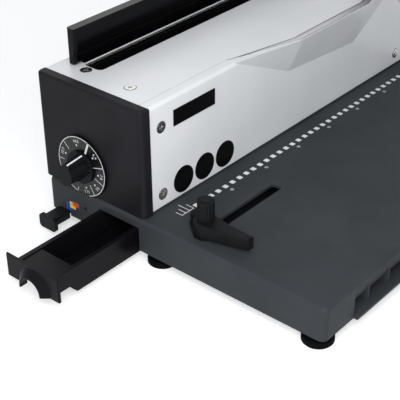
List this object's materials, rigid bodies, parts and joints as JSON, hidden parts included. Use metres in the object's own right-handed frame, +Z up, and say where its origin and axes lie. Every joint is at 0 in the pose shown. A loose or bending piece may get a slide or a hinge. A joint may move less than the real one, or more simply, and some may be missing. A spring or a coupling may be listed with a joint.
{
  "type": "wire punching and binding machine",
  "caption": "Desktop punch and wire binder: base with edge guide, white housing, size dial, open rear cover, pulled-out waste drawer and side lever.",
  "frame": {"origin": "on the table, at the bottom centre of the whole machine's box", "axes": "+Z up, +X to the right along the housing and the row of holes, +Y to the rear"},
  "size_m": [0.4604, 0.2674, 0.2955],
  "materials": {
    "base_paint": "fine matt texture",
    "foot_rubber": "moulded rubber",
    "zinc_steel": "zinc plated",
    "bush_bronze": "sintered bronze",
    "panel_plastic": "fine texture",
    "cover_paint": "smooth satin powder coat",
    "screw_steel": "nickel plated",
    "rest_steel": "satin",
    "black_steel": "satin black",
    "trim_black": "printed foil",
    "tool_steel": "ground",
    "black_screw": "black oxide",
    "black_plastic": "moulded, satin",
    "handle_steel": "satin black powder coat",
    "grip_rubber": "foam grip",
    "spring_steel": "spring steel",
    "drawer_plastic": "moulded, glossy",
    "cover_plastic": "moulded, glossy"
  },
  "bodies": {
    "housing": {"base_shell": "base_paint", "bottom_cover": "base_paint", "front_grip": "base_paint", "rubber_feet": "foot_rubber", "foot_studs": "zinc_steel", "side_frame_left": "zinc_steel", "side_frame_right": "zinc_steel", "tie_rods": "zinc_steel", "shaft_bushes": "bush_bronze", "end_panel_left": "panel_plastic", "end_panel_right": "panel_plastic", "front_cover": "cover_paint", "top_cover": "cover_paint", "cover_screws": "screw_steel", "wire_rest": "rest_steel", "channel_floor": "black_steel", "name_plate": "trim_black", "round_badges": "trim_black", "die_plate": "tool_steel", "guide_spacers": "zinc_steel", "pin_guide": "tool_steel", "die_screws": "black_screw", "guide_posts": "tool_steel", "dial_plate": "panel_plastic", "slider_channel": "zinc_steel", "drawer_rail_front": "black_plastic", "drawer_rail_rear": "black_plastic", "hinge_brackets": "black_steel"},
    "handle": {"main_shaft": "tool_steel", "punch_cams": "tool_steel", "closer_cams": "tool_steel", "handle_arm": "handle_steel", "handle_cap": "black_plastic", "handle_rod": "screw_steel", "handle_grip": "grip_rubber"},
    "punch": {"pressure_bar": "zinc_steel", "punch_pins": "tool_steel", "return_springs": "spring_steel"},
    "closer": {"closer_bar": "black_steel"},
    "dial": {"dial_knob": "black_plastic", "dial_spindle": "zinc_steel", "stop_cams": "black_plastic"},
    "anvil": {"closer_anvil": "black_steel"},
    "stop": {"depth_stop": "zinc_steel"},
    "slider": {"margin_slider": "black_plastic"},
    "drawer": {"waste_drawer": "drawer_plastic"},
    "guide": {"guide_shoe": "black_plastic", "edge_guide": "black_plastic", "clamp_screw": "zinc_steel"},
    "clamp": {"clamp_lever": "black_plastic", "clamp_knob": "black_plastic"},
    "cover": {"hinged_cover": "cover_plastic", "hinge_pins": "zinc_steel"}
  },
  "joints": [
    {"name": "handle_swing", "type": "hinge", "parent": "housing", "child": "handle", "pos_m": [0.2182, 0.05817, 0.098], "axis": [1, 0, 0], "range_deg": [0, 75], "stiffness_Nm_per_rad": 1, "springref_deg": -28.65},
    {"name": "punch_slide", "type": "slide", "parent": "housing", "child": "punch", "axis": [0, 0, 1], "range_m": [-0.009, 0], "deforming": ["return_springs"]},
    {"name": "closer_slide", "type": "slide", "parent": "housing", "child": "closer", "axis": [0, 1, 0], "range_m": [0, 0.0047]},
    {"name": "dial_turn", "type": "hinge", "parent": "housing", "child": "dial", "pos_m": [-0.1445, 0.0895, 0.0595], "axis": [1, 0, 0], "range_deg": [0, 300]},
    {"name": "anvil_slide", "type": "slide", "parent": "housing", "child": "anvil", "axis": [0, 1, 0], "range_m": [-0.0079, 0]},
    {"name": "margin_slide", "type": "slide", "parent": "housing", "child": "slider", "axis": [1, 0, 0], "range_m": [-0.0165, 0]},
    {"name": "stop_slide", "type": "slide", "parent": "housing", "child": "stop", "axis": [0, 1, 0], "range_m": [-0.003, 0]},
    {"name": "drawer_slide", "type": "slide", "parent": "housing", "child": "drawer", "axis": [1, 0, 0], "range_m": [-0.1, 0.0797]},
    {"name": "guide_slide", "type": "slide", "parent": "housing", "child": "guide", "axis": [1, 0, 0], "range_m": [0, 0.0637]},
    {"name": "clamp_turn", "type": "hinge", "parent": "guide", "child": "clamp", "pos_m": [-0.1257, -0.0151, 0.0384], "axis": [0, 0, 1], "range_deg": [-45, 60]},
    {"name": "cover_swing", "type": "hinge", "parent": "housing", "child": "cover", "pos_m": [0.0375, 0.1205, 0.1266], "axis": [1, 0, 0], "range_deg": [0, 90]}
  ],
  "couplings": [
    {"joint": "punch_slide", "follows": "handle_swing", "m_per_rad": -0.0068754},
    {"joint": "closer_slide", "follows": "handle_swing", "m_per_rad": 0.0035905},
    {"joint": "dial_turn", "follows": "anvil_slide", "rad_per_m": -662.78},
    {"joint": "stop_slide", "follows": "margin_slide", "ratio": 0.18181}
  ]
}
